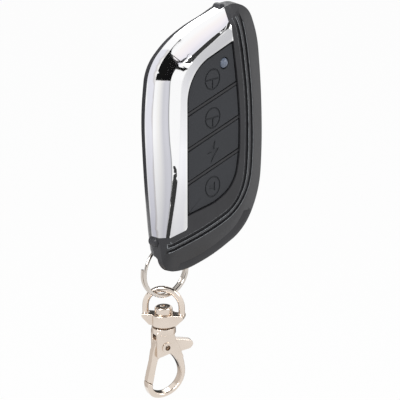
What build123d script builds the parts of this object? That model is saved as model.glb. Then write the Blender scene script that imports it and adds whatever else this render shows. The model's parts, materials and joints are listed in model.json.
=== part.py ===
"""Key-ring wireless remote control: leaf-shaped case, four keys, split ring and swivel clasp.

The remote stands upright with its chain hanging. +X is its right side, +Z its top, and its face
looks along -Y. The origin is the centre of the flat back face. Heights of the case are measured
forwards from the back face, and every size is in millimetres.
"""
from build123d import *
import math
import os

# Case
seam_height = 6.4
wall_height = 9.2
wall_share = 0.03
side_share = 0.47
crown_height = 10.75
face_height = 11.8
half_width = 21.5
half_length = 37.0
trim_wall = 1.1
cover_wall = 1.25
fit_gap = 0.05
rear_floor = 1.3
rear_steps = [(6.4, 0), (5.0, 0.5), (3.4, 1.6), (1.8, 3.6), (0.6, 6.0), (0, 8.0)]
hollow_steps = [(6.4, 2.4), (5.0, 2.7), (3.4, 3.7), (2.1, 5.3), (rear_floor, 7.4)]

# Ridges and grooves of the black frame, as shares of the way between two ridge lines
grooves = [(0.10, 0.40, 11.0), (0.58, 0.86, 10.5)]
lip_height = 9.65
knuckle_radius = 1.35
knuckle_places = [(6.6, 34.6), (-18.9, -27.4)]
knuckle_ends = (5.2, 8.6)

# Keys, counted from the top of the remote
key_names = ["arm_key", "disarm_key", "flash_key", "siren_key"]
key_left = -11.0
key_outline = [(7.3, 26.1), (9.2, 14.5), (10.4, 3.0), (10.2, -7.2), (8.9, -13.6), (6.0, -17.2), (0.5, -19.6),
               (-11.0, -21.0), (-11.0, 20.5)]
key_sharp_corners = (0, 7)
key_corner = 0.5
key_gap = 0.3
key_top = 11.45
key_bottom = 8.55
key_edge = 0.3
key_lap = 0.2
flange_top = 9.2
divider_top = 11.35
divider_slope = 14.8
divider_left = [8.0, -2.2, -11.9]
divider_width = 0.7
icon_places = [(-0.7, 16.4), (-0.6, 5.3), (-0.4, -4.5), (-0.6, -14.7)]
icon_radius = 3.1
icon_line = 0.5
icon_depth = 0.25

# Electronics
board_bottom = 4.8
board_top = 5.8
board_outline = [(-13.5, -23.0), (9.5, -19.5), (12.5, -8.0), (12.5, 14.0), (9.5, 27.6), (-6.5, 25.0),
                 (-13.5, 17.5)]
board_corner = 1.5
board_peg_radius = 1.2
board_peg_places = [(-8.5, 21.0), (7.5, 22.5), (-11.5, -18.0), (8.5, -15.0)]
switch_side = 4.2
switch_top = 7.3
switch_seat = 6.4
plunger_radius = 0.9
plunger_bottom = 6.75
plunger_top = 7.75
mat_pip_radius = 1.5
mat_top = 8.5
mat_bottom = 8.05
mat_margin = 1.2
mat_skirt = 1.0
led_place = (4.0, 20.1)
led_radius = 1.5
led_gap = 0.25
led_dome = 10.75
led_rim = (7.0, 7.6)
led_rim_radius = 1.7
led_leg_radius = 0.25
led_leg_place = 0.9
chip_height = 1.1
chips = [("rf_chip", (4.8, 1.0), (4.0, 5.0)), ("encoder_chip", (5.0, 10.5), (4.0, 6.0))]
can_place = (4.6, -8.6)
can_radius = 2.3
can_height = 1.6
cell_radius = 10.0
cell_bottom = 1.5
cell_top = 4.7
cell_place = (0.0, 1.0)
cell_rim = 0.25
clip_thick = 0.2
clip_width = 6.0
clip_half = 10.6
clip_leg = 0.3
contact_radius = 4.0
contact_thick = 0.1
screw_places = [(12.6, 27.0), (13.0, -22.0)]
screw_radius = 0.85
screw_head_radius = 1.7
screw_head_ends = (2.1, 3.3)
screw_tip = 9.6
thread_gap = 0.02
boss_radius = 2.4

# Split ring, the post that it hangs on and the slot round the post
post_x = -12.9
post_z = -33.3
post_radius = 1.9
slot_floor = 2.2
slot_ceiling = 7.5
slot_play = 0.4
corner_radius = 10.0
ring_y = -4.75
ring_yaw = -10.0
ring_wire = 0.9
ring_radius = 7.2
ring_pitch = 1.35
ring_jog = 125.0
ring_step = 90
ring_turns = (-310, -222, -133, -45, 45, 133, 222, 310)
ring_swing = (-5, 25)
running_gap = 0.05

# Swivel eye and its stud
eye_x = -13.4
eye_yaw = -58.0
eye_wire = 1.8
eye_arch = 5.2
eye_leg = 2.0
eye_base = (12.0, 3.8, 3.2)
eye_boss_radius = 3.5
eye_boss_height = 3.4
hang_gap = 0.6
stud_radius = 1.5
stud_head_radius = 2.55
stud_head_height = 2.1
eye_bevel = 2.2
stud_deep = 1.7
stud_dimple = 1.2

# Clasp, in its own upright plane: x to the right, y up from the top of its shoulder
clasp_yaw = -22.0
boss_gap = 0.5
cheek_half = 2.4
slot_half = 1.3
hook_half = 1.7
gate_half = 1.2
shoulder_radius = 3.45
shoulder_height = 1.8
pivot = (0.1, -5.7)
gate_reach = 11.5
gate_gap = 0.1
pin_radius = 1.1
pin_bore = 0.75
pin_head_radius = 1.55
pin_head_height = 0.35
spring_radius = 1.7
spring_thick = 0.9
spring_gap = 0.1
hook_edge = 0.45
cheek_corner = 0.3
lever_corner = 0.7

# Outlines of the clasp in its plane
cheek = [(-3.0, -1.0), (2.3, -1.0), (2.5, -2.5), (2.8, -3.7), (3.7, -5.5), (4.45, -7.3), (5.2, -9.3),
         (3.4, -10.0), (2.1, -8.5), (1.1, -7.6), (-2.9, -8.7)]
web = [(-1.7, -1.0), (2.3, -1.0), (2.3, -2.5), (-1.7, -2.5)]
hook_inner = [(-4.0, -17.4), (-3.4, -18.5), (-2.2, -19.3), (-0.1, -19.6), (2.0, -18.8), (3.85, -17.1),
              (4.7, -14.9), (4.45, -12.6), (3.5, -10.5), (2.1, -8.7)]
hook_outer = [(4.8, -8.4), (5.36, -9.8), (5.9, -12.4), (5.85, -14.9), (5.1, -17.0), (3.6, -18.9),
              (1.4, -20.3), (-0.9, -20.85), (-2.9, -20.7), (-4.3, -20.0), (-5.1, -18.6), (-5.5, -16.8)]
gate_left = [(1.8, -3.5), (-1.8, -3.5), (-2.7, -3.9), (-3.2, -5.5), (-3.77, -7.1), (-4.2, -9.96),
             (-4.89, -12.8), (-5.4, -15.0)]
gate_right = [(-2.9, -12.0), (-2.3, -9.5), (-1.7, -8.9), (0.1, -8.3), (2.5, -8.1), (4.7, -7.9), (7.7, -7.4),
              (8.76, -6.3), (8.2, -5.0), (3.7, -4.0)]
gate_corners = (-5.5, -3.8)

# Corners of the case's rounded outlines, clockwise from the top edge, as x and z
seam_outline = [
    (3.5, 34.2), (9.4, 36.3), (16.4, 33.6), (20.1, 24.7), (21.8, 9.0), (22.3, -7.0), (21.4, -20.8),
    (15.4, -31.5), (2.1, -36.3), (-9.5, -38.1), (-17.9, -36.5), (-19.5, -27.3), (-21.4, -9.0),
    (-22.4, 9.0), (-20.6, 23.1), (-12.5, 29.3), (-4.3, 32.4),
]
crown_outline = [
    (5.8, 30.3), (8.4, 33.8), (12.6, 31.3), (15.2, 23.0), (16.9, 9.0), (17.4, -6.5), (16.3, -18.4),
    (10.9, -27.0), (0.0, -30.7), (-10.0, -32.5), (-17.7, -32.3), (-18.6, -26.2), (-15.3, -9.2),
    (-17.4, 7.1), (-16.3, 21.7), (-8.5, 24.3), (-1.7, 27.5),
]
face_outline = [
    (4.6, 29.7), (7.8, 30.2), (9.2, 28.8), (10.9, 21.5), (12.7, 9.0), (13.1, -6.0), (11.9, -16.4),
    (7.0, -23.0), (-2.0, -25.8), (-10.5, -27.4), (-17.3, -28.3), (-18.0, -25.2), (-14.5, -9.2),
    (-13.9, 6.0), (-13.4, 19.1), (-8.0, 24.0), (-1.0, 27.1),
]

# Ridge lines of the frame from its top end to its bottom end, and the lip of its lower band
inner_ridge = [
    (6.3, 34.8), (8.6, 27.0), (10.3, 18.2), (11.5, 8.5), (11.8, -1.0), (11.6, -9.0), (10.5, -16.2),
    (7.4, -20.9), (1.5, -23.5), (-6.5, -25.5), (-15.5, -26.9), (-22.5, -28.0),
]
outer_ridge = [
    (8.4, 38.2), (13.0, 29.4), (15.2, 18.6), (16.5, 8.5), (17.1, -1.5), (17.0, -11.0), (15.2, -19.0),
    (10.4, -24.2), (3.0, -27.3), (-6.3, -29.2), (-16.0, -30.6), (-23.0, -31.6),
]
lip_line = [(13.2, -25.2), (9.4, -29.4), (3.8, -32.0), (-3.4, -34.0), (-12.0, -34.9)]

os.makedirs("parts", exist_ok=True)


def save(block, name):
    """Label one finished piece and write it as its own node."""
    block.part.label = name
    export_step(block.part, f"parts/{name}.step")


def front_plane(height):
    """The plane parallel to the face at a height in front of the back face."""
    return Plane.XZ.offset(height)


def upright_plane(x, y, z, yaw):
    """A vertical plane whose x axis is turned by yaw degrees about +Z."""
    turn = math.radians(yaw)
    return Plane(
        origin=(x, y, z),
        x_dir=(math.cos(turn), math.sin(turn), 0),
        z_dir=(math.sin(turn), -math.cos(turn), 0),
    )


def shrunk(outline, amount):
    """An outline drawn in by about this amount all round."""
    across = 1 - amount / half_width
    along = 1 - amount / half_length
    return [(x * across, z * along) for x, z in outline]


def part_way(near, far, share):
    """A line this share of the way from one line to another with as many points."""
    return [(a[0] + share * (b[0] - a[0]), a[1] + share * (b[1] - a[1])) for a, b in zip(near, far)]


def soft_radii(corners):
    """The largest radius that each corner's two sides leave room for."""
    radii = []
    for index, corner in enumerate(corners):
        back = Vector(*corners[index - 1]) - Vector(*corner)
        ahead = Vector(*corners[(index + 1) % len(corners)]) - Vector(*corner)
        half_turn = math.radians(180 - back.get_angle(ahead)) / 2
        radii.append(side_share * min(back.length, ahead.length) / math.tan(half_turn))
    return radii


def level(corners, height):
    """A closed outline with every corner rounded, as a face at this height."""
    with BuildSketch(front_plane(height)) as sketch:
        with BuildLine():
            FilletPolyline(*corners, radius=soft_radii(corners), close=True)
        make_face()
    return sketch.sketch


def front_mass(shrink=0.0, drop=0.0):
    """The front half of the case as one block: an upright wall, then a crowned slope to the face."""
    wall_outline = part_way(seam_outline, face_outline, wall_share)
    outlines = (seam_outline, wall_outline, crown_outline, face_outline)
    heights = (seam_height, wall_height, crown_height, face_height)
    levels = [level(shrunk(line, shrink), high - drop) for line, high in zip(outlines, heights)]
    with BuildPart() as mass:
        loft(levels, ruled=True)
    return mass.part


def rear_mass(steps):
    """A rounded rear block from pairs of height and how far the outline is drawn in."""
    with BuildPart() as mass:
        loft([level(shrunk(seam_outline, inset), height) for height, inset in steps], ruled=True)
    return mass.part


def prism(face, low, high):
    """A face drawn in the plane of the back, as a solid between two heights."""
    with BuildPart() as block:
        with BuildSketch(front_plane(low)):
            add(face.moved(Location((0, -low, 0))))
        extrude(amount=high - low)
    return block.part


def rod(place, radius, low, high):
    """A round solid along Y between two heights."""
    with BuildPart() as block:
        with BuildSketch(front_plane(low)):
            with Locations(place):
                Circle(radius)
        extrude(amount=high - low)
    return block.part


def key_field(gap=0.0):
    """The outline of the whole key field, drawn in by a gap."""
    corners = []
    for index, corner in enumerate(key_outline):
        back = (Vector(*key_outline[index - 1]) - Vector(*corner)).normalized()
        ahead = (Vector(*key_outline[(index + 1) % len(key_outline)]) - Vector(*corner)).normalized()
        half_turn = math.radians(back.get_angle(ahead)) / 2
        inwards = (back + ahead).normalized() * (gap / math.sin(half_turn))
        corners.append((corner[0] + inwards.X, corner[1] + inwards.Y))
    radii = soft_radii(corners)
    for sharp in key_sharp_corners:
        radii[sharp] = key_corner
    with BuildSketch(front_plane(0)) as field:
        with BuildLine():
            FilletPolyline(*corners, radius=radii, close=True)
        make_face()
    return field.sketch


def key_face(index, gap):
    """The outline of one key, with a gap to its window."""
    beyond = 60
    rise = math.tan(math.radians(divider_slope))
    cut = (divider_width / 2 + gap) / math.cos(math.radians(divider_slope))
    upper = (divider_left[index - 1] if index > 0 else divider_left[0] + beyond) - cut
    lower = (divider_left[index] if index < len(divider_left) else divider_left[-1] - beyond) + cut
    corners = [(x, z + (x - key_left) * rise)
               for x, z in ((-20, upper), (20, upper), (20, lower), (-20, lower))]
    with BuildSketch(front_plane(0)) as face:
        add(key_field(gap))
        with BuildSketch(front_plane(0), mode=Mode.INTERSECT):
            with BuildLine():
                Polyline(*corners, close=True)
            make_face()
    return face.sketch


def groove(start, end, floor):
    """The solid that one groove of the frame takes out, between two shares of the ridges' spacing."""
    near = part_way(inner_ridge, outer_ridge, start)
    far = part_way(inner_ridge, outer_ridge, end)
    with BuildSketch(front_plane(0)) as band:
        with BuildLine():
            Spline(*near)
            Line(near[-1], far[-1])
            Spline(*reversed(far))
            Line(far[0], near[0])
        make_face()
    return prism(band.sketch, floor, face_height + 1)


def lip_cut():
    """The solid that the step along the lower band takes out."""
    with BuildSketch(front_plane(0)) as band:
        with BuildLine():
            Spline(*lip_line)
            Polyline(lip_line[-1], (-13.5, -44.0), (24.0, -44.0), (24.0, -27.0), lip_line[0])
        make_face()
    return prism(band.sketch, lip_height, face_height + 1)


def knuckle(place, low, high):
    """A rib across the side wall, beside an end of the bright trim, rounded at its outer end."""
    with BuildPart() as rib:
        with BuildSketch(front_plane(low)):
            with Locations(place):
                Circle(knuckle_radius)
        extrude(amount=high - low)
        ends = rib.edges().filter_by(GeomType.CIRCLE).sort_by(Axis.Y)
        fillet(ends[0] if high > seam_height else ends[-1], knuckle_radius * 0.6)
    return rib.part


def box_at(place, size, low, high):
    """A rectangular solid along Y between two heights."""
    with BuildPart() as block:
        with BuildSketch(front_plane(low)):
            with Locations(place):
                Rectangle(*size)
        extrude(amount=high - low)
    return block.part


# Spaces inside the case
ring_inner = ring_radius - ring_wire / 2
ring_outer = ring_radius + ring_wire / 2
ring_z = post_z + post_radius + running_gap - ring_inner
with BuildSketch(front_plane(0)) as slot_area:
    for swing in (ring_swing[0], 0, ring_swing[1] / 2, ring_swing[1]):
        turn = math.radians(swing)
        reach = post_z - ring_z
        with Locations((post_x + reach * math.sin(turn), post_z - reach * math.cos(turn))):
            Circle(ring_outer + slot_play)
    with Locations((post_x, post_z)):
        Circle(post_radius, mode=Mode.SUBTRACT)
ring_slot = prism(slot_area.sketch, slot_floor, slot_ceiling)
corner_block = rod((post_x + 1.2, ring_z + 0.6), corner_radius, 0, face_height)
bed_shrink = trim_wall + fit_gap
hollow_shrink = bed_shrink + cover_wall
hollow_ceiling = face_height - hollow_shrink

# Bright trim along the left and top edges
with BuildSketch(front_plane(0)) as trim_area:
    with BuildLine():
        trim_inside = Polyline(key_outline[0], (5.0, 20.0), (-8.0, 10.0), (-8.0, -19.0), (key_left, -19.5),
                               (key_left, -23.8))
        trim_foot = TangentArc(trim_inside @ 1, (-12.1, -24.9), tangent=(0, -1))
        trim_outside = Polyline(trim_foot @ 1, (-26.0, -26.6), (-26.0, 42.0), (6.2, 42.0), (6.3, 35.0))
        Spline(trim_outside @ 1, (6.5, 31.0), trim_inside @ 0)
    make_face()
    add(key_field(), mode=Mode.SUBTRACT)
trim_block = prism(trim_area.sketch, seam_height, face_height + 1)
with BuildPart() as chrome_trim:
    add(front_mass())
    add(trim_block, mode=Mode.INTERSECT)
    add(front_mass(trim_wall, trim_wall), mode=Mode.SUBTRACT)
    for place in knuckle_places:
        add(rod(place, knuckle_radius + fit_gap, seam_height, knuckle_ends[1] + fit_gap), mode=Mode.SUBTRACT)
save(chrome_trim, "chrome_trim")

# Black front cover: the ribbed frame, the bed under the trim and the bars between the keys
with BuildPart() as trim_bed:
    add(front_mass(bed_shrink, bed_shrink))
    add(trim_block, mode=Mode.INTERSECT)
with BuildPart() as front_hollow:
    add(front_mass(hollow_shrink, hollow_shrink))
    add(corner_block, mode=Mode.SUBTRACT)
with BuildPart() as dividers:
    for start in divider_left:
        middle = start - key_left * math.tan(math.radians(divider_slope))
        with BuildSketch(front_plane(hollow_ceiling)):
            with Locations((0, middle)):
                Rectangle(30, divider_width, rotation=divider_slope)
        extrude(amount=divider_top - hollow_ceiling)
    add(prism(key_field(-0.3), seam_height, face_height), mode=Mode.INTERSECT)
    add(box_at((key_left - 5, 0), (10, 90), seam_height, face_height), mode=Mode.SUBTRACT)
with BuildPart() as front_cover:
    add(front_mass())
    add(trim_block, mode=Mode.SUBTRACT)
    for start, end, floor in grooves:
        add(groove(start, end, floor), mode=Mode.SUBTRACT)
    add(lip_cut(), mode=Mode.SUBTRACT)
    add(trim_bed.part)
    for place in knuckle_places:
        add(knuckle(place, seam_height, knuckle_ends[1]))
    add(front_hollow.part, mode=Mode.SUBTRACT)
    add(prism(key_field(), seam_height, face_height + 1), mode=Mode.SUBTRACT)
    add(dividers.part)
    for place in screw_places:
        add(rod(place, boss_radius, seam_height, wall_height))
        add(rod(place, screw_radius + thread_gap, seam_height - 1, screw_tip), mode=Mode.SUBTRACT)
    add(ring_slot, mode=Mode.SUBTRACT)
save(front_cover, "front_cover")

# Rear cover with the ring's post, the board's pegs and two screw bosses
with BuildPart() as rear_hollow:
    add(rear_mass(hollow_steps))
    add(corner_block, mode=Mode.SUBTRACT)
    for place in screw_places:
        add(rod(place, boss_radius, 0, seam_height), mode=Mode.SUBTRACT)
    for place in board_peg_places:
        add(rod(place, board_peg_radius, 0, board_bottom), mode=Mode.SUBTRACT)
with BuildPart() as rear_cover:
    add(rear_mass(rear_steps))
    for place in knuckle_places:
        add(knuckle(place, knuckle_ends[0], seam_height))
    add(rear_hollow.part, mode=Mode.SUBTRACT)
    add(ring_slot, mode=Mode.SUBTRACT)
    for place in screw_places:
        add(rod(place, screw_radius + 0.1, -1, seam_height + 1), mode=Mode.SUBTRACT)
        add(rod(place, screw_head_radius + 0.15, -1, screw_head_ends[1]), mode=Mode.SUBTRACT)
save(rear_cover, "rear_cover")

# Case screws from behind, their heads in the counterbores
for place, name in zip(screw_places, ("case_screw_top", "case_screw_bottom")):
    with BuildPart() as screw:
        add(rod(place, screw_radius, screw_head_ends[1], screw_tip))
        add(rod(place, screw_head_radius, *screw_head_ends))
        add(box_at(place, (2 * screw_radius, 0.4), screw_head_ends[0] - 1, screw_head_ends[0] + 0.6),
            mode=Mode.SUBTRACT)
        add(box_at(place, (0.4, 2 * screw_radius), screw_head_ends[0] - 1, screw_head_ends[0] + 0.6),
            mode=Mode.SUBTRACT)
    save(screw, name)


# Signs pressed into the keys
def ring_sign(place):
    """A ring with a cross bar, and an upright bar below it."""
    with BuildSketch(front_plane(0)) as sign:
        with Locations(place):
            Circle(icon_radius)
            Circle(icon_radius - icon_line, mode=Mode.SUBTRACT)
            Rectangle(2 * icon_radius - icon_line, icon_line)
        with Locations((place[0], place[1] - icon_radius / 2)):
            Rectangle(icon_line, icon_radius)
    return sign.sketch


def bolt_sign(place):
    """A lightning bolt."""
    shape = [(0.9, 3.2), (-2.4, -0.4), (-0.4, -0.2), (-1.0, -3.4), (2.4, 0.7), (0.4, 0.5)]
    with BuildSketch(front_plane(0)) as sign:
        with BuildLine():
            Polyline(*[(place[0] + x, place[1] + z) for x, z in shape], close=True)
        make_face()
    return sign.sketch


def horn_sign(place):
    """A horn in a ring."""
    shape = [(-1.3, -0.5), (-0.4, -0.5), (1.0, -1.4), (1.0, 1.4), (-0.4, 0.5), (-1.3, 0.5)]
    with BuildSketch(front_plane(0)) as sign:
        with Locations(place):
            Circle(icon_radius)
            Circle(icon_radius - icon_line, mode=Mode.SUBTRACT)
        with BuildLine():
            Polyline(*[(place[0] + x, place[1] + z) for x, z in shape], close=True)
        make_face()
    return sign.sketch


# Keys, each with a flange under the front cover, and the mat that lifts them back
signs = [ring_sign, ring_sign, bolt_sign, horn_sign]
for index, name in enumerate(key_names):
    with BuildPart() as key:
        add(prism(key_face(index, key_gap), key_bottom, key_top))
        fillet(key.faces().sort_by(Axis.Y)[0].edges(), key_edge)
        add(prism(key_face(index, -key_lap), key_bottom, flange_top))
        add(prism(signs[index](icon_places[index]), key_top - icon_depth, key_top + 1), mode=Mode.SUBTRACT)
        if index == 0:
            add(rod(led_place, led_radius + led_gap, key_bottom - 1, key_top + 1), mode=Mode.SUBTRACT)
    save(key, name)
with BuildPart() as keypad_mat:
    add(prism(key_field(-mat_margin), board_top, mat_top))
    add(prism(key_field(mat_skirt - mat_margin), board_top - 1, mat_bottom), mode=Mode.SUBTRACT)
    for place in icon_places:
        add(rod(place, mat_pip_radius, plunger_top + fit_gap, mat_bottom))
    add(rod(led_place, led_radius + led_gap, board_top, mat_top + 1), mode=Mode.SUBTRACT)
save(keypad_mat, "keypad_mat")

# Circuit board and what is soldered to it
with BuildPart() as circuit_board:
    with BuildSketch(front_plane(board_bottom)):
        with BuildLine():
            FilletPolyline(*board_outline, radius=board_corner, close=True)
        make_face()
    extrude(amount=board_top - board_bottom)
save(circuit_board, "circuit_board")
for index, place in enumerate(icon_places):
    with BuildPart() as switch:
        add(box_at(place, (switch_side, switch_side), board_top, switch_top))
        add(rod(place, plunger_radius + running_gap, switch_seat, switch_top + 1), mode=Mode.SUBTRACT)
    save(switch, f"tact_switch_{index + 1}")
    with BuildPart() as plunger:
        add(rod(place, plunger_radius, plunger_bottom, plunger_top))
    save(plunger, f"switch_plunger_{index + 1}")
for name, place, size in chips:
    with BuildPart() as chip:
        add(box_at(place, size, board_top, board_top + chip_height))
        chamfer(chip.faces().sort_by(Axis.Y)[0].edges(), 0.15)
    save(chip, name)
with BuildPart() as resonator_can:
    add(rod(can_place, can_radius, board_top, board_top + can_height))
    fillet(resonator_can.faces().sort_by(Axis.Y)[0].edges(), 0.3)
save(resonator_can, "resonator_can")
with BuildPart() as status_led:
    add(rod(led_place, led_radius, led_rim[0], led_dome + led_radius))
    fillet(status_led.faces().sort_by(Axis.Y)[0].edges(), led_radius - 0.02)
    add(rod(led_place, led_rim_radius, *led_rim))
    for side in (-led_leg_place, led_leg_place):
        add(rod((led_place[0] + side, led_place[1]), led_leg_radius, board_top, led_rim[0]))
save(status_led, "status_led")

# Cell and its contacts, behind the board
with BuildPart() as coin_cell:
    add(rod(cell_place, cell_radius, cell_bottom, cell_top))
    chamfer(coin_cell.edges().filter_by(GeomType.CIRCLE), cell_rim)
save(coin_cell, "coin_cell")
with BuildPart() as battery_clip:
    add(box_at(cell_place, (2 * clip_half, clip_width), cell_bottom - clip_thick, cell_bottom))
    for side in (-1, 1):
        leg_x = cell_place[0] + side * (clip_half - clip_leg / 2)
        add(box_at((leg_x, cell_place[1]), (clip_leg, clip_width), cell_bottom - clip_thick, board_bottom))
save(battery_clip, "battery_clip")
with BuildPart() as battery_contact:
    add(rod(cell_place, contact_radius, cell_top, cell_top + contact_thick))
save(battery_contact, "battery_contact")


# Split ring: one wire in two flat turns with a rising step between them
def ring_point(turn):
    """Centre of the wire and its direction at an angle along the wound length."""
    share = min(max((turn + ring_step / 2) / ring_step, 0), 1)
    rise = ring_pitch * (share * share * (3 - 2 * share) - 0.5)
    slope = ring_pitch * 6 * share * (1 - share) / math.radians(ring_step)
    angle = math.radians(ring_jog + turn)
    plane = upright_plane(post_x, ring_y, ring_z, ring_yaw)
    place = ring_radius * (plane.x_dir * math.cos(angle) + plane.y_dir * math.sin(angle)) + plane.z_dir * rise
    ahead = ring_radius * (plane.y_dir * math.cos(angle) - plane.x_dir * math.sin(angle)) + plane.z_dir * slope
    return plane.origin + place, ahead.normalized()


def arc_joint(start, ahead, end, leave):
    """The point where two arcs meet that leave start along ahead and reach end along leave."""
    span = end - start
    both = ahead + leave
    off = 2 * (1 - ahead.dot(leave))
    cross = span.dot(both)
    reach = (-cross + math.sqrt(cross * cross + off * span.dot(span))) / off
    return (start + end + (ahead - leave) * reach) * 0.5


def arc_middle(start, ahead, end):
    """The middle point of the arc that leaves start along ahead and ends at end."""
    chord = end - start
    along = ahead.dot(chord.normalized())
    bulge = (ahead - chord.normalized() * along).normalized()
    return (start + end) * 0.5 + bulge * (chord.length / 2 * math.tan(math.acos(along) / 2))


def least_gap(points, thickness, apart):
    """The least clear space between two stretches of the wire that lie this far apart along it."""
    least = min((first - second).length
                for index, first in enumerate(points) for second in points[index + apart:])
    return least - thickness


with BuildLine() as ring_path:
    start, ahead = ring_point(ring_turns[0])
    Line(start - ahead * ring_wire, start)
    for turn in ring_turns[1:]:
        end, leave = ring_point(turn)
        joint = arc_joint(start, ahead, end, leave)
        ThreePointArc(start, arc_middle(start, ahead, joint), joint)
        ThreePointArc(joint, arc_middle(end, -leave, joint), end)
        start, ahead = end, leave
    Line(start, start + ahead * ring_wire)
with BuildPart() as split_ring:
    with BuildSketch(Plane(origin=ring_path.wire() @ 0, z_dir=ring_path.wire() % 0)):
        Circle(ring_wire / 2)
    sweep(path=ring_path.wire())
save(split_ring, "split_ring")
wire_points = [ring_point(turn)[0] for turn in range(ring_turns[0], ring_turns[-1] + 1, 2)]
print("least gap between the ring's turns", round(least_gap(wire_points, ring_wire, 20), 3))

# Swivel eye: an arch on a base with a boss, and the stud that joins it to the clasp
arch_top = ring_z - ring_inner + eye_wire / 2 + hang_gap
arch_centre = arch_top - eye_arch
base_top = arch_centre - eye_leg
boss_bottom = base_top - eye_boss_height
eye_plane = upright_plane(eye_x, ring_y, 0, eye_yaw)
with BuildPart() as swivel_eye:
    with BuildLine(eye_plane) as arch_path:
        Line((-eye_arch, base_top - 1), (-eye_arch, arch_centre))
        ThreePointArc((-eye_arch, arch_centre), (0, arch_top), (eye_arch, arch_centre))
        Line((eye_arch, arch_centre), (eye_arch, base_top - 1))
    with BuildSketch(Plane(origin=arch_path.wire() @ 0, z_dir=(0, 0, 1))):
        Circle(eye_wire / 2)
    sweep(path=arch_path.wire())
    with BuildSketch(eye_plane.offset(-eye_base[1] / 2)) as base_side:
        with BuildLine():
            half = eye_base[0] / 2
            foot = base_top - eye_base[2]
            Polyline((-half, base_top), (half, base_top), (half, foot + eye_bevel), (half - eye_bevel, foot),
                     (eye_bevel - half, foot), (-half, foot + eye_bevel), close=True)
        make_face()
    extrude(amount=eye_base[1])
    with BuildSketch(Plane.XY.offset(base_top)):
        with Locations((eye_x, ring_y)):
            Circle(eye_boss_radius)
    extrude(amount=-eye_boss_height)
    with BuildSketch(Plane.XY.offset(base_top)):
        with Locations((eye_x, ring_y)):
            Circle(stud_radius + running_gap)
    extrude(amount=-eye_boss_height, mode=Mode.SUBTRACT)
save(swivel_eye, "swivel_eye")

shoulder_top = boss_bottom - boss_gap
with BuildPart() as swivel_stud:
    with BuildSketch(Plane.XY.offset(shoulder_top - stud_deep)):
        with Locations((eye_x, ring_y)):
            Circle(stud_radius)
    extrude(amount=base_top - shoulder_top + stud_deep + running_gap)
    with BuildSketch(Plane.XY.offset(base_top + running_gap)):
        with Locations((eye_x, ring_y)):
            Circle(stud_head_radius)
    extrude(amount=stud_head_height)
    fillet(swivel_stud.faces().sort_by(Axis.Z)[-1].edges(), 0.7)
    with Locations((eye_x, ring_y, base_top + running_gap + stud_head_height + stud_dimple * 0.6)):
        Sphere(stud_dimple, mode=Mode.SUBTRACT)
save(swivel_stud, "swivel_stud")

# Clasp body: shoulder, two cheeks with a slot between them, and the hook
clasp_plane = upright_plane(eye_x, ring_y, shoulder_top, clasp_yaw)


def clasp_slab(face, near, far):
    """A face drawn in the clasp's plane, as a solid between two distances in front of the plane."""
    with BuildPart() as slab:
        with BuildSketch(clasp_plane.offset(near)):
            add(face)
        extrude(amount=far - near)
    return slab.part


def clasp_rod(radius, near, far):
    """A round solid along the gate's pivot between two distances in front of the plane."""
    with BuildPart() as slab:
        with BuildSketch(clasp_plane.offset(near)):
            with Locations(pivot):
                Circle(radius)
        extrude(amount=far - near)
    return slab.part


def on_circle(x, radius):
    """The lower point of a circle about the pivot at this x."""
    return (x, pivot[1] - math.sqrt(radius ** 2 - (x - pivot[0]) ** 2))


def flat(corners, corner_radius=0.0):
    """A closed outline in local coordinates."""
    with BuildSketch() as sketch:
        with BuildLine():
            Polyline(*corners, close=True)
        make_face()
        if corner_radius:
            fillet(sketch.vertices(), corner_radius)
    return sketch.sketch


nose_radius = gate_reach + gate_gap
nose_out = on_circle(gate_corners[0], nose_radius)
nose_in = on_circle(gate_corners[1], nose_radius)
with BuildSketch() as hook_side:
    with BuildLine():
        Spline(nose_in, *hook_inner)
        Line(hook_inner[-1], hook_outer[0])
        Spline(*hook_outer, nose_out)
        RadiusArc(nose_out, nose_in, -nose_radius)
    make_face()
with BuildPart() as hook:
    add(clasp_slab(hook_side.sketch, -hook_half, hook_half))
    rims = hook.edges().filter_by(lambda edge: edge.length > 15)
    fillet(rims, hook_edge)
with BuildPart() as clasp_body:
    add(clasp_slab(flat(cheek, cheek_corner), -cheek_half, -slot_half))
    add(clasp_slab(flat(cheek, cheek_corner), slot_half, cheek_half))
    add(clasp_slab(flat(web), -slot_half, slot_half))
    add(hook.part)
    with BuildSketch(Plane.XY.offset(shoulder_top)):
        with Locations((eye_x, ring_y)):
            Circle(shoulder_radius)
    extrude(amount=-shoulder_height)
    with BuildSketch(Plane.XY.offset(shoulder_top)):
        with Locations((eye_x, ring_y)):
            Circle(stud_radius)
    extrude(amount=-stud_deep, mode=Mode.SUBTRACT)
    add(clasp_rod(pin_radius, -cheek_half - 1, cheek_half + 1), mode=Mode.SUBTRACT)
save(clasp_body, "clasp_body")

# Gate with its thumb lever, the rivet that it turns on and its spring
gate_out = on_circle(gate_corners[0], gate_reach)
gate_in = on_circle(gate_corners[1], gate_reach)
with BuildSketch() as gate_side:
    with BuildLine():
        Polyline(*gate_left, gate_out)
        RadiusArc(gate_out, gate_in, -gate_reach)
        Polyline(gate_in, *gate_right, gate_left[0])
    make_face()
    fillet(gate_side.vertices().filter_by(lambda corner: corner.X > 7), lever_corner)
with BuildPart() as clasp_gate:
    add(clasp_slab(gate_side.sketch, -gate_half, gate_half))
    add(clasp_rod(pin_radius + running_gap, -cheek_half, cheek_half), mode=Mode.SUBTRACT)
    add(clasp_rod(spring_radius + spring_gap, -gate_half - 1, spring_thick + spring_gap - gate_half),
        mode=Mode.SUBTRACT)
save(clasp_gate, "clasp_gate")
with BuildPart() as gate_pin:
    add(clasp_rod(pin_radius, -cheek_half, cheek_half))
    add(clasp_rod(pin_head_radius, cheek_half, cheek_half + pin_head_height))
    add(clasp_rod(pin_head_radius, -cheek_half - pin_head_height, -cheek_half))
    add(clasp_rod(pin_bore, -cheek_half - 1, cheek_half + 1), mode=Mode.SUBTRACT)
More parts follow.
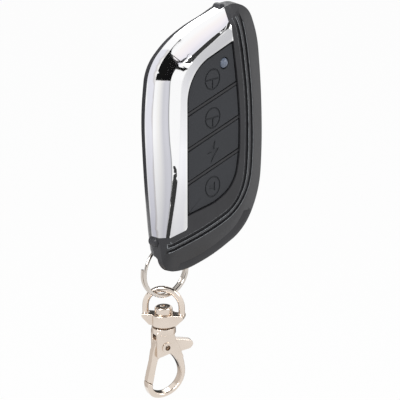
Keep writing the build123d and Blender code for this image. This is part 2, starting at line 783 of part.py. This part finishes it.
save(gate_pin, "gate_pin")
with BuildPart() as gate_spring:
    add(clasp_rod(spring_radius, spring_gap / 2 - gate_half, spring_thick + spring_gap / 2 - gate_half))
    add(clasp_rod(pin_radius + running_gap, -gate_half, gate_half), mode=Mode.SUBTRACT)
save(gate_spring, "gate_spring")
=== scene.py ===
"""Looks of the key-ring remote control: bright trim, ribbed black case, rubber keys, ring and clasp."""
import json
import math

import bmesh
import bpy
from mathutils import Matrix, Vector
from mathutils.bvhtree import BVHTree


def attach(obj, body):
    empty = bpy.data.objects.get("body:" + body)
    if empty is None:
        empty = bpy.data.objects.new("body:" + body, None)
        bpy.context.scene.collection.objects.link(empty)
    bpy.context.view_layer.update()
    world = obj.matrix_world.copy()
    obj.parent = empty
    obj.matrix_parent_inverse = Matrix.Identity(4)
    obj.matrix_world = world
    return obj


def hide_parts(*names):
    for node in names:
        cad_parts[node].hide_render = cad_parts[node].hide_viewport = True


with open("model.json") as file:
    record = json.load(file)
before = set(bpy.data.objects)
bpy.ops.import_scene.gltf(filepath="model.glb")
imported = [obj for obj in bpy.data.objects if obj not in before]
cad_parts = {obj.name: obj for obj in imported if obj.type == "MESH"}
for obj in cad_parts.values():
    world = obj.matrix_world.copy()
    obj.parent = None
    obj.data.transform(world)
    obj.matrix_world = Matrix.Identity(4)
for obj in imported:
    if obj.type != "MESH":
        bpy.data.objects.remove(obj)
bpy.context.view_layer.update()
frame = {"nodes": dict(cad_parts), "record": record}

nodes = frame["nodes"]
MM = 0.001
KEYS = ("arm_key", "disarm_key", "flash_key", "siren_key")

# View of the remote, in millimetres and degrees
VIEW_TURN = -46.0
VIEW_RISE = 18.0
VIEW_DISTANCE = 900.0
VIEW_LENS = 291.6
VIEW_TARGET = (-6.2, -12.0, -17.2)
SENSOR_WIDTH = 36.0
CLIP_END_METRES = 10.0

# Pale floor: its height in millimetres, half its width in metres, its grey and how white it is seen
FLOOR_HEIGHT = -300.0
FLOOR_REACH = 4.0
FLOOR_GREY = 0.85
FLOOR_ROUGHNESS = 0.9
FLOOR_WHITE_SHARE = 0.95
WORLD_STRENGTH = 0.5

# Heights of the case's creases in front of its back face, in millimetres
WALL_TOP = 9.2
CREST = 10.75
FACE = 11.8

# Tolerances on meshes, in millimetres where the name gives no unit
SAME_POINT_METRES = 1e-7
SAME_HEIGHT = 0.02
SLIVER = 0.05
FLAT_FOLD_DEGREES = 0.3

# How far the rounded edges of the covers keep from the trim and the keys, in millimetres
CLEAR_OF_FACE = 1.2

# Gap between the trim and the rubber keys, in millimetres: from this height up, the keys' points that are
# beside the trim are pushed away from it, and the keys' sides within reach of it take a painted shade
KEY_SIDES_FROM = 9.3
BESIDE_TRIM = 0.65
GAP_PUSH = 0.45
GAP_SIDE_REACH = 1.3

# A key's face counts as a side where its normal's Y part is smaller than this
STEEP = 0.6

scene = bpy.context.scene
scene.view_settings.view_transform = "Standard"


def away(turn, rise):
    """The direction from the object towards a viewer at this turn and rise."""
    a, e = math.radians(turn), math.radians(rise)
    return Vector((math.sin(a) * math.cos(e), -math.cos(a) * math.cos(e), math.sin(e)))


def aim(obj, direction):
    """Turns a camera or lamp to look along a direction."""
    obj.rotation_euler = direction.to_track_quat("-Z", "Y").to_euler()


# Camera
camera_data = bpy.data.cameras.new("view")
camera_data.lens = VIEW_LENS
camera_data.sensor_width = SENSOR_WIDTH
camera_data.clip_end = CLIP_END_METRES
camera = bpy.data.objects.new("view", camera_data)
scene.collection.objects.link(camera)
camera.location = (Vector(VIEW_TARGET) + away(VIEW_TURN, VIEW_RISE) * VIEW_DISTANCE) * MM
aim(camera, -away(VIEW_TURN, VIEW_RISE))
scene.camera = camera


# Light
def soft_lamp(name, turn, rise, distance, size, power):
    """A square area lamp, some metres away, that looks at the middle of the remote."""
    data = bpy.data.lights.new(name, "AREA")
    data.shape = "SQUARE"
    data.size = size
    data.energy = power
    lamp = bpy.data.objects.new(name, data)
    scene.collection.objects.link(lamp)
    lamp.location = Vector(VIEW_TARGET) * MM + away(turn, rise) * distance
    aim(lamp, -away(turn, rise))


soft_lamp("key_lamp", turn=-95, rise=42, distance=0.7, size=0.35, power=5.0)
soft_lamp("fill_lamp", turn=25, rise=46, distance=0.8, size=0.45, power=2.6)
soft_lamp("back_lamp", turn=150, rise=40, distance=0.8, size=0.4, power=1.4)


# Shader nodes
def grey(value):
    return (value, value, value)


def plug(tree, value, socket):
    """Links a node's output to a socket, or sets the socket to a plain value."""
    if isinstance(value, bpy.types.NodeSocket):
        tree.links.new(value, socket)
    else:
        socket.default_value = value


def calculate(tree, operation, first, second):
    """The result of a Math node."""
    node = tree.nodes.new("ShaderNodeMath")
    node.operation = operation
    plug(tree, first, node.inputs[0])
    plug(tree, second, node.inputs[1])
    return node.outputs[0]


def mixed(tree, first, second, factor=1.0, mode="MIX"):
    """Two colours mixed by a factor."""
    node = tree.nodes.new("ShaderNodeMix")
    node.data_type = "RGBA"
    node.blend_type = mode
    plug(tree, factor, node.inputs["Factor"])
    plug(tree, first, node.inputs["A"])
    plug(tree, second, node.inputs["B"])
    return node.outputs["Result"]


def toned(tree, value, stops):
    """A value turned into colours by stops, which are pairs of a place from 0 to 1 and a colour."""
    node = tree.nodes.new("ShaderNodeValToRGB")
    elements = node.color_ramp.elements
    while len(elements) < len(stops):
        elements.new(0.5)
    for element, (place, _) in zip(elements, stops):
        element.position = place
    for element, (_, tone) in zip(elements, stops):
        element.color = (*tone, 1.0)
    tree.links.new(value, node.inputs["Fac"])
    return node.outputs["Color"]


def attribute(tree, name):
    """A piece's own attribute."""
    node = tree.nodes.new("ShaderNodeAttribute")
    node.attribute_name = name
    return node.outputs["Fac"]


def object_place(tree):
    """Object coordinates, in metres."""
    return tree.nodes.new("ShaderNodeTexCoord").outputs["Object"]


def speckle(tree, place, scale, detail=3.0):
    """Cloudy noise at a scale in spots per metre."""
    noise = tree.nodes.new("ShaderNodeTexNoise")
    noise.inputs["Scale"].default_value = scale
    noise.inputs["Detail"].default_value = detail
    tree.links.new(place, noise.inputs["Vector"])
    return noise.outputs["Fac"]


def clouded(tree, noise, low, high):
    """Two colours that pass into each other over the middle of a noise."""
    return toned(tree, noise, ((0.3, low), (0.7, high)))


def white_for_seen_rays(tree, plain, shader, share=1.0):
    """A share of the white shader for the camera, reflections and glass, and the plain one for other rays."""
    path = tree.nodes.new("ShaderNodeLightPath").outputs
    seen = calculate(tree, "MAXIMUM", path["Is Camera Ray"], path["Is Glossy Ray"])
    seen = calculate(tree, "MAXIMUM", seen, path["Is Transmission Ray"])
    mix = tree.nodes.new("ShaderNodeMixShader")
    tree.links.new(calculate(tree, "MULTIPLY", seen, share), mix.inputs[0])
    tree.links.new(plain.outputs[0], mix.inputs[1])
    tree.links.new(shader.outputs[0], mix.inputs[2])
    return mix.outputs[0]


def bare_material(name):
    """A new material with only its output node, its node tree and the socket for its surface."""
    material = bpy.data.materials.new(name)
    material.use_nodes = True
    tree = material.node_tree
    tree.nodes.clear()
    return material, tree, tree.nodes.new("ShaderNodeOutputMaterial").inputs["Surface"]


# World
world = bpy.data.worlds.new("studio")
scene.world = world
world.use_nodes = True
tree = world.node_tree
tree.nodes.clear()
dim = tree.nodes.new("ShaderNodeBackground")
dim.inputs["Color"].default_value = (1.0, 1.0, 1.0, 1.0)
dim.inputs["Strength"].default_value = WORLD_STRENGTH
white = tree.nodes.new("ShaderNodeBackground")
white.inputs["Color"].default_value = (1.0, 1.0, 1.0, 1.0)
white.inputs["Strength"].default_value = 1.0
world_out = tree.nodes.new("ShaderNodeOutputWorld")
tree.links.new(white_for_seen_rays(tree, dim, white), world_out.inputs["Surface"])

# Materials
CLOUD_SCALE = 120.0
RIM_BREAKUP_SCALE = 900.0
GRAIN_DEPTH_METRES = 0.00005


def finish(name, low, high, rough, metal=0.0, grain=None, bump=0.0, coat=0.0, gloss=0.5, rim=None):
    """A finish whose colour and roughness drift a little, with an optional fine grain, and rims in a colour,
    broken up by noise, that paints a highlight or a shade.
    """
    material, tree, shown = bare_material(name)
    surface = tree.nodes.new("ShaderNodeBsdfPrincipled")
    tree.links.new(surface.outputs[0], shown)
    place = object_place(tree)
    cloudy = speckle(tree, place, CLOUD_SCALE)
    colour = clouded(tree, cloudy, low, high)
    if rim:
        rim_breakup = clouded(tree, speckle(tree, place, RIM_BREAKUP_SCALE), grey(0.45), grey(1.0))
        rim_paint_share = calculate(tree, "MULTIPLY", attribute(tree, "rim"), rim_breakup)
        colour = mixed(tree, colour, (*rim, 1.0), rim_paint_share)
    tree.links.new(colour, surface.inputs["Base Color"])
    tree.links.new(clouded(tree, cloudy, *map(grey, rough)), surface.inputs["Roughness"])
    surface.inputs["Metallic"].default_value = metal
    surface.inputs["Coat Weight"].default_value = coat
    surface.inputs["Specular IOR Level"].default_value = gloss
    if grain:
        relief = tree.nodes.new("ShaderNodeBump")
        relief.inputs["Strength"].default_value = bump
        relief.inputs["Distance"].default_value = GRAIN_DEPTH_METRES
        tree.links.new(speckle(tree, place, grain, detail=2.0), relief.inputs["Height"])
        tree.links.new(relief.outputs[0], surface.inputs["Normal"])
    return material


def way(tree, length, start, end):
    """A length as a share of the way from a start to an end, both in millimetres."""
    spread = tree.nodes.new("ShaderNodeMapRange")
    spread.inputs["From Min"].default_value = start * MM
    spread.inputs["From Max"].default_value = end * MM
    tree.links.new(length, spread.inputs["Value"])
    return spread.outputs["Result"]


def paint_plating_reflections(material, top, upper, lower):
    """Paints reflections and a dark crease line into the plating's colour by tones over its height, which pass
    from the top's ones to the lower ones.
    """
    tree = material.node_tree
    surface = next(node for node in tree.nodes if node.type == "BSDF_PRINCIPLED")
    bright = surface.inputs["Base Color"].links[0].from_socket
    axes = tree.nodes.new("ShaderNodeSeparateXYZ")
    tree.links.new(object_place(tree), axes.inputs[0])
    height = way(tree, axes.outputs["Y"], -WALL_TOP, -FACE)
    top_tone, upper_tone, lower_tone = (
        toned(tree, height, [((level - WALL_TOP) / (FACE - WALL_TOP), tone) for level, tone in stops])
        for stops in (top, upper, lower))
    down = mixed(tree, upper_tone, lower_tone, way(tree, axes.outputs["Z"], 5.0, -25.0))
    here = mixed(tree, top_tone, down, way(tree, axes.outputs["Z"], 21.0, 18.5))
    tree.links.new(mixed(tree, bright, here, mode="MULTIPLY"), surface.inputs["Base Color"])


# Painted reflections of the plating, with greyer bands and a painted dark line at the crest crease: heights in
# millimetres in front of the back face, with the colour there
TOP_PAINTED_REFLECTIONS = (
    (9.2, grey(1.0)), (9.55, grey(1.0)), (9.85, (0.98, 0.94, 0.93)), (10.3, (0.92, 0.88, 0.92)),
    (10.6, (0.80, 0.79, 0.85)), (10.7, (0.80, 0.79, 0.85)), (10.78, grey(1.0)),
)
UPPER_PAINTED_REFLECTIONS = (
    (9.2, grey(1.0)), (9.4, grey(1.0)), (9.73, (0.91, 0.90, 0.88)), (10.16, (0.64, 0.64, 0.68)),
    (10.48, (0.68, 0.68, 0.73)), (10.66, (0.62, 0.62, 0.67)), (10.7, grey(0.24)), (10.8, grey(1.0)),
)
LOWER_PAINTED_REFLECTIONS = (
    (9.2, (0.64, 0.64, 0.66)), (9.4, (0.62, 0.62, 0.64)), (9.73, (0.58, 0.58, 0.60)),
    (10.16, (0.53, 0.53, 0.57)), (10.48, (0.56, 0.56, 0.60)), (10.66, (0.55, 0.55, 0.6)),
    (10.7, grey(0.24)), (10.8, grey(1.0)),
)

# The trim's base colour carries painted reflections: grey bands over its height, greyer lower down, and a
# painted dark line along the crest crease
trim_chrome = finish("trim_chrome", (0.955, 0.955, 0.965), (0.975, 0.975, 0.98), (0.03, 0.06), metal=1.0)
paint_plating_reflections(trim_chrome, TOP_PAINTED_REFLECTIONS, UPPER_PAINTED_REFLECTIONS, LOWER_PAINTED_REFLECTIONS)
# The covers' lighter rim colour is a painted highlight on their rounded edges; the keys' near-black rim colour
# is painted shade on their sides in the gap beside the trim
case_black = finish("case_black", (0.030, 0.030, 0.033), (0.037, 0.037, 0.041), (0.30, 0.38), grain=9000.0,
                    bump=0.25, gloss=0.25, rim=(0.34, 0.36, 0.38))
key_rubber = finish("key_rubber", (0.038, 0.040, 0.045), (0.044, 0.046, 0.052), (0.62, 0.72), grain=7000.0,
                    bump=0.4, gloss=0.25, rim=grey(0.002))
ring_nickel = finish("ring_nickel", (0.62, 0.57, 0.52), (0.70, 0.65, 0.60), (0.08, 0.14), metal=1.0)
clasp_nickel = finish("clasp_nickel", (0.70, 0.61, 0.53), (0.80, 0.71, 0.63), (0.10, 0.18), metal=1.0)
mat_silicone = finish("mat_silicone", (0.42, 0.43, 0.45), (0.50, 0.51, 0.53), (0.45, 0.6))
board_green = finish("board_green", (0.020, 0.13, 0.055), (0.035, 0.17, 0.075), (0.25, 0.35), coat=0.3)
chip_black = finish("chip_black", grey(0.022), grey(0.032), (0.45, 0.6))
tinned_steel = finish("tinned_steel", (0.58, 0.58, 0.56), (0.66, 0.66, 0.64), (0.25, 0.4), metal=1.0)
cell_steel = finish("cell_steel", grey(0.66), grey(0.74), (0.2, 0.35), metal=1.0)
screw_steel = finish("screw_steel", grey(0.22), grey(0.32), (0.3, 0.45), metal=1.0)
switch_body = finish("switch_body", grey(0.52), grey(0.62), (0.3, 0.45), metal=1.0)
plunger_black = finish("plunger_black", grey(0.03), grey(0.045), (0.4, 0.5))
spring_steel = finish("spring_steel", grey(0.45), grey(0.58), (0.25, 0.4), metal=1.0)
led_clear = finish("led_clear", (0.12, 0.145, 0.20), (0.17, 0.20, 0.26), (0.25, 0.35), coat=0.15)

node_finish = {
    "chrome_trim": trim_chrome, "front_cover": case_black, "rear_cover": case_black,
    "keypad_mat": mat_silicone, "circuit_board": board_green, "status_led": led_clear,
    "rf_chip": chip_black, "encoder_chip": chip_black, "resonator_can": tinned_steel,
    "battery_clip": tinned_steel, "battery_contact": tinned_steel, "coin_cell": cell_steel,
    "case_screw_top": screw_steel, "case_screw_bottom": screw_steel, "split_ring": ring_nickel,
    "swivel_eye": clasp_nickel, "swivel_stud": clasp_nickel, "clasp_body": clasp_nickel,
    "clasp_gate": clasp_nickel, "gate_pin": clasp_nickel, "gate_spring": spring_steel,
}
for number, key in enumerate(KEYS, start=1):
    node_finish[key] = key_rubber
    node_finish[f"tact_switch_{number}"] = switch_body
    node_finish[f"switch_plunger_{number}"] = plunger_black
for name, material in node_finish.items():
    nodes[name].data.materials.clear()
    nodes[name].data.materials.append(material)

body_of = {name: body for body, names in frame["record"]["behaviour"]["bodies"].items() for name in names}


# Pieces that take the place of the plain solids
def joined(name):
    """A closed, joined copy of a node's surface."""
    shape = bmesh.new()
    shape.from_mesh(nodes[name].data)
    bmesh.ops.remove_doubles(shape, verts=shape.verts, dist=SAME_POINT_METRES)
    return shape


def merge_flat(shape):
    """Makes one face of the triangles of each flat part."""
    bmesh.ops.dissolve_limit(shape, angle_limit=math.radians(FLAT_FOLD_DEGREES), verts=shape.verts,
                             edges=shape.edges)


def forward(vert):
    """How far a point stands in front of the back face, in millimetres."""
    return -vert.co.y / MM


def shade(shape, sharp_angle):
    """Smooth shading, except across edges that fold more than an angle."""
    for face in shape.faces:
        face.smooth = True
    for edge in shape.edges:
        edge.smooth = edge.calc_face_angle(0.0) < math.radians(sharp_angle)


def add_object(shape, name):
    """A new object at the origin whose mesh is a shape."""
    mesh = bpy.data.meshes.new(name)
    shape.to_mesh(mesh)
    shape.free()
    made = bpy.data.objects.new(name, mesh)
    scene.collection.objects.link(made)
    return made


def place_piece(shape, name, node):
    """Turns a shape into the piece that is shown in place of a node."""
    piece = add_object(shape, name)
    piece.data.materials.append(node_finish[node])
    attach(piece, body_of[node])
    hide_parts(node)
    return piece


def soften(shape, edges, width, clamped=True):
    """Rounds edges with a small bevel, and marks the rounded faces as rims, which a finish with a rim colour
    paints with a highlight or a shade.
    """
    rim = shape.faces.layers.float.get("rim") or shape.faces.layers.float.new("rim")
    rounded = bmesh.ops.bevel(shape, geom=edges, offset=width * MM, offset_type="OFFSET", segments=2,
                              profile=0.5, affect="EDGES", clamp_overlap=clamped, material=-1)
    for face in rounded["faces"]:
        face[rim] = 1.0


def flat_shading(piece):
    """Keeps broad faces flat beside their rounded edges."""
    weigh = piece.modifiers.new("face_weight", "WEIGHTED_NORMAL")
    weigh.mode = "FACE_AREA"
    weigh.keep_sharp = True


# Bright trim: its creases rounded just enough to catch the light
def on_crease(edge):
    """Whether an edge runs along one of the case's creases."""
    first, second = (forward(vert) for vert in edge.verts)
    return any(abs(first - height) < SAME_HEIGHT and abs(second - height) < SAME_HEIGHT
               for height in (WALL_TOP, CREST, FACE))


trim = joined("chrome_trim")
merge_flat(trim)
soften(trim, [edge for edge in trim.edges if on_crease(edge) and edge.is_convex], width=0.14)
bmesh.ops.triangulate(trim, faces=trim.faces)
trim_surface = BVHTree.FromBMesh(trim)
shade(trim, sharp_angle=35)
flat_shading(place_piece(trim, "trim_shell", "chrome_trim"))

# Black covers: soft moulded edges, but none beside the trim and the keys
face_surfaces = [trim_surface]
for key in KEYS:
    pad = joined(key)
    face_surfaces.append(BVHTree.FromBMesh(pad))
    pad.free()


def moulded(name, piece_name, sharp, width, front_only, clamped):
    """A moulded cover whose outer edges, from a height upwards, are slightly rounded."""
    shape = joined(name)
    bmesh.ops.remove_doubles(shape, verts=shape.verts, dist=SLIVER * MM)
    merge_flat(shape)
    outer = []
    for edge in shape.edges:
        middle = (edge.verts[0].co + edge.verts[1].co) / 2.0
        if (edge.is_convex and edge.calc_face_angle(0.0) > math.radians(sharp)
                and all(forward(vert) > front_only for vert in edge.verts)
                and all(surface.find_nearest(middle)[3] > CLEAR_OF_FACE * MM for surface in face_surfaces)):
            outer.append(edge)
    # The rounded faces take the finish's lighter rim colour, a painted highlight
    soften(shape, outer, width, clamped)
    shade(shape, sharp_angle=30)
    flat_shading(place_piece(shape, piece_name, name))


moulded("front_cover", "front_shell", sharp=30, width=0.12, front_only=10.9, clamped=False)
moulded("rear_cover", "rear_shell", sharp=60, width=0.10, front_only=-1.0, clamped=True)

# Rubber keys, set back from the trim by a gap whose sides are painted dark as shade
for key in KEYS:
    pad = joined(key)
    merge_flat(pad)
    rim = pad.faces.layers.float.new("rim")
    for vert in pad.verts:
        nearest, _, _, distance = trim_surface.find_nearest(vert.co)
        if forward(vert) > KEY_SIDES_FROM and distance < BESIDE_TRIM * MM:
            push = vert.co - nearest
            push.y = 0.0
            vert.co += push.normalized() * GAP_PUSH * MM
    pad.normal_update()
    # Sides beside the trim are marked as rims, which key_rubber paints near-black: painted shade in the gap
    for face in pad.faces:
        if (abs(face.normal.y) < STEEP
                and trim_surface.find_nearest(face.calc_center_median())[3] < GAP_SIDE_REACH * MM):
            face[rim] = 1.0
    shade(pad, sharp_angle=40)
    flat_shading(place_piece(pad, f"{key}_pad", key))

# Status light
lens = joined("status_led")
shade(lens, sharp_angle=40)
place_piece(lens, "light_lens", "status_led")


# Cast and bent metal of the chain
def cast(name, piece_name, grain_size, rounds):
    """A cast piece: the solid's surface in an even mesh whose corners are worn soft."""
    rough = add_object(joined(name), piece_name + "_rough")
    even = rough.modifiers.new("even", "REMESH")
    even.mode = "VOXEL"
    even.voxel_size = grain_size * MM
    even.use_smooth_shade = True
    evened = bpy.data.meshes.new_from_object(rough.evaluated_get(bpy.context.evaluated_depsgraph_get()))
    rough_mesh = rough.data
    bpy.data.objects.remove(rough)
    bpy.data.meshes.remove(rough_mesh)
    shape = bmesh.new()
    shape.from_mesh(evened)
    bpy.data.meshes.remove(evened)
    for _ in range(rounds):
        bmesh.ops.smooth_vert(shape, verts=shape.verts, factor=0.5, use_axis_x=True, use_axis_y=True,
                              use_axis_z=True)
    for face in shape.faces:
        face.smooth = True
    place_piece(shape, piece_name, name)


cast("clasp_body", "clasp_casting", grain_size=0.13, rounds=4)
cast("clasp_gate", "gate_casting", grain_size=0.12, rounds=4)
cast("swivel_eye", "eye_casting", grain_size=0.12, rounds=5)
cast("swivel_stud", "stud_casting", grain_size=0.10, rounds=3)
rivet = joined("gate_pin")
soften(rivet, [edge for edge in rivet.edges if edge.calc_face_angle(0.0) > math.radians(60)], width=0.1)
shade(rivet, sharp_angle=35)
place_piece(rivet, "rivet_tube", "gate_pin")
coil = joined("split_ring")
shade(coil, sharp_angle=50)
place_piece(coil, "ring_coil", "split_ring")

# Backdrop: boards at a distance round the remote, which aren't part of it. Only reflections show them, so
# that the bright metal has something dark or grey to mirror. Their corners suit the view from VIEW_TURN.
PLAIN = ((0.0, grey(1.0)), (1.0, grey(1.0)))
BLACK = ((0.0, grey(0.008)), (1.0, grey(0.008)))
DARK = ((0.0, grey(0.04)), (1.0, grey(0.04)))


def card(name, rows, across, along=PLAIN):
    """A board bridged between its two long edges, with its tones across and along it."""
    shape = bmesh.new()
    side_layer = shape.verts.layers.float.new("across")
    row_layer = shape.verts.layers.float.new("along")
    edges = []
    for side in (0, 1):
        chain = [shape.verts.new(Vector(row[side]) * MM) for row in rows]
        for place, vert in enumerate(chain):
            vert[side_layer] = side
            vert[row_layer] = place / (len(rows) - 1)
        edges += [shape.edges.new(pair) for pair in zip(chain, chain[1:])]
    bmesh.ops.bridge_loops(shape, edges=edges)
    board = add_object(shape, name)
    board.visible_camera = False
    board.visible_diffuse = False
    board.visible_transmission = False
    board.visible_volume_scatter = False
    board.visible_shadow = False
    material, tree, shown = bare_material(name)
    light = tree.nodes.new("ShaderNodeEmission")
    tones = mixed(tree, toned(tree, attribute(tree, "across"), across),
                  toned(tree, attribute(tree, "along"), along), mode="MULTIPLY")
    tree.links.new(tones, light.inputs["Color"])
    tree.links.new(light.outputs[0], shown)
    board.data.materials.append(material)


# Rows of two corners each, in millimetres
shoulder_rows = [
    ((-20, -53, 14), (-8, -55, 14)), ((-22, -53, 20), (-4, -54, 24)), ((-20, -53, 24), (-0.5, -54, 28.5)),
    ((-16, -53, 27.5), (2, -52, 30.8)), ((-12, -53, 30.5), (5.5, -51, 32.8)), ((-8, -52, 33), (12, -49, 34)),
    ((-5, -51, 35), (13, -48, 35.2)),
]
card("shoulder_card", shoulder_rows, BLACK)
overhead_rows = [((-50.0, 8.0, 95.0), (-50.0, -112.0, 95.0)), ((60.0, 8.0, 95.0), (60.0, -112.0, 95.0))]
card("overhead_card", overhead_rows, DARK)
jaw_rows = [
    ((-27, -56, -23), (-32, -56, -20)), ((-23, -58, -23), (-42, -52, -18)),
    ((-19, -58, -23), (-57, -37, -14)), ((-30, -57, -23), (-62, -28, -12)), ((-40, -54, -22), (-63, -27, -13)),
    ((-44, -52, -21), (-65, -13, -12)), ((-58, -40, -22), (-66, -8, -12)), ((-62, -32, -25), (-67, -4, -13)),
    ((-63, -28, -32), (-68, -2, -20)), ((-62, -24, -46), (-67, -1, -36)),
]
card("jaw_card", jaw_rows, DARK)
behind_rows = [((-70.0, 40.0, -33.0), (-70.0, 40.0, 55.0)), ((40.0, 40.0, -33.0), (40.0, 40.0, 55.0))]
card("behind_card", behind_rows, DARK)

# The board round the chain is part of a cylinder: its middle, its radius, and its foot and head
CHAIN_MIDDLE = (-13.0, -5.0)
CHAIN_CARD_RADIUS = 45.0
CHAIN_CARD_FOOT = -95.0
CHAIN_CARD_HEAD = -55.0
chain_rows = []
for turn in range(60, 211, 10):
    reach = away(turn, 0.0) * CHAIN_CARD_RADIUS
    chain_rows.append([Vector((*CHAIN_MIDDLE, height)) + reach for height in (CHAIN_CARD_FOOT, CHAIN_CARD_HEAD)])
card("chain_card", chain_rows, PLAIN,
     ((0.0, (0.75, 0.70, 0.65)), (0.25, (0.45, 0.41, 0.37)), (0.36, grey(0.04)), (0.64, grey(0.04)),
      (0.72, (0.55, 0.50, 0.46)), (1.0, (0.9, 0.88, 0.86))))
wall_rows = [
    ((-21.2, 17.0, 59.0), (-17.6, 13.8, 59.7)), ((-31.2, 16.6, 55.3), (-25.5, 13.4, 57.4)),
    ((-42.9, 16.1, 46.9), (-37.3, 12.8, 51.4)), ((-50.0, 16.0, 37.0), (-47.0, 12.4, 41.5)),
    ((-53.9, 15.9, 25.6), (-52.9, 12.2, 28.7)), ((-54.7, 15.8, 14.1), (-54.5, 11.9, 15.1)),
    ((-55.0, 15.5, 9.0), (-54.7, 11.8, 9.5)), ((-53.3, 16.0, -6.7), (-53.0, 11.9, -6.0)),
    ((-50.9, 16.7, -18.8), (-50.8, 12.7, -17.9)), ((-48.3, 17.6, -29.2), (-49.0, 13.6, -28.1)),
    ((-46.0, 18.8, -37.5), (-46.8, 14.9, -36.5)), ((-43.8, 19.2, -45.5), (-44.0, 16.6, -44.7)),
]
card("wall_card", wall_rows,
     ((0.0, grey(1.0)), (0.12, grey(0.98)), (0.2, (0.78, 0.78, 0.84)), (0.7, (0.80, 0.80, 0.86)),
      (0.8, (0.58, 0.56, 0.57)), (1.0, (0.9, 0.88, 0.85))))
face_rows = [
    ((48.3, -51.8, 15.8), (50.6, -51.7, 15.4)), ((45.9, -51.7, 13.5), (50.0, -51.6, 12.8)),
    ((41.8, -51.8, 11.9), (49.5, -51.5, 10.4)), ((38.0, -51.9, 10.2), (45.5, -51.5, 8.7)),
    ((34.6, -52.0, 8.4), (40.8, -51.6, 7.2)), ((31.8, -52.1, 6.5), (36.7, -51.7, 5.5)),
    ((29.6, -52.1, 4.2), (33.7, -51.8, 3.4)), ((28.1, -52.1, 1.2), (31.5, -51.9, 0.5)),
    ((27.4, -52.1, -3.5), (30.5, -51.8, -4.2)), ((27.2, -52.0, -9.5), (30.3, -51.8, -10.2)),
    ((26.7, -51.9, -17.1), (30.2, -51.6, -17.9)), ((26.3, -51.9, -23.1), (30.1, -51.6, -24.0)),
    ((25.4, -51.8, -29.0), (30.1, -51.5, -30.1)), ((24.2, -51.8, -34.9), (30.2, -51.4, -36.3)),
    ((22.9, -51.7, -39.9), (30.0, -51.5, -41.5)), ((21.8, -51.7, -45.2), (29.9, -51.4, -47.1)),
]
card("face_card", face_rows,
     ((0.0, (0.90, 0.90, 0.92)), (0.25, (0.98, 0.98, 1.0)), (0.72, (0.92, 0.92, 0.96)), (0.8, grey(1.0))),
     ((0.0, grey(0.60)), (0.3, grey(0.63)), (0.4, grey(0.72)), (0.5, grey(0.82)), (0.6, grey(0.90)),
      (0.68, grey(1.0)), (0.76, grey(0.96)), (0.84, grey(0.82)), (1.0, grey(0.72))))

# Floor
ground = bmesh.new()
bmesh.ops.create_grid(ground, x_segments=1, y_segments=1, size=FLOOR_REACH)
bmesh.ops.translate(ground, verts=ground.verts, vec=(0, 0, FLOOR_HEIGHT * MM))
floor = add_object(ground, "floor")
floor_material, tree, shown = bare_material("floor")
surface = tree.nodes.new("ShaderNodeBsdfPrincipled")
surface.inputs["Base Color"].default_value = (*grey(FLOOR_GREY), 1.0)
surface.inputs["Roughness"].default_value = FLOOR_ROUGHNESS
glow = tree.nodes.new("ShaderNodeEmission")
glow.inputs["Strength"].default_value = 1.0
tree.links.new(white_for_seen_rays(tree, surface, glow, FLOOR_WHITE_SHARE), shown)
floor.data.materials.append(floor_material)
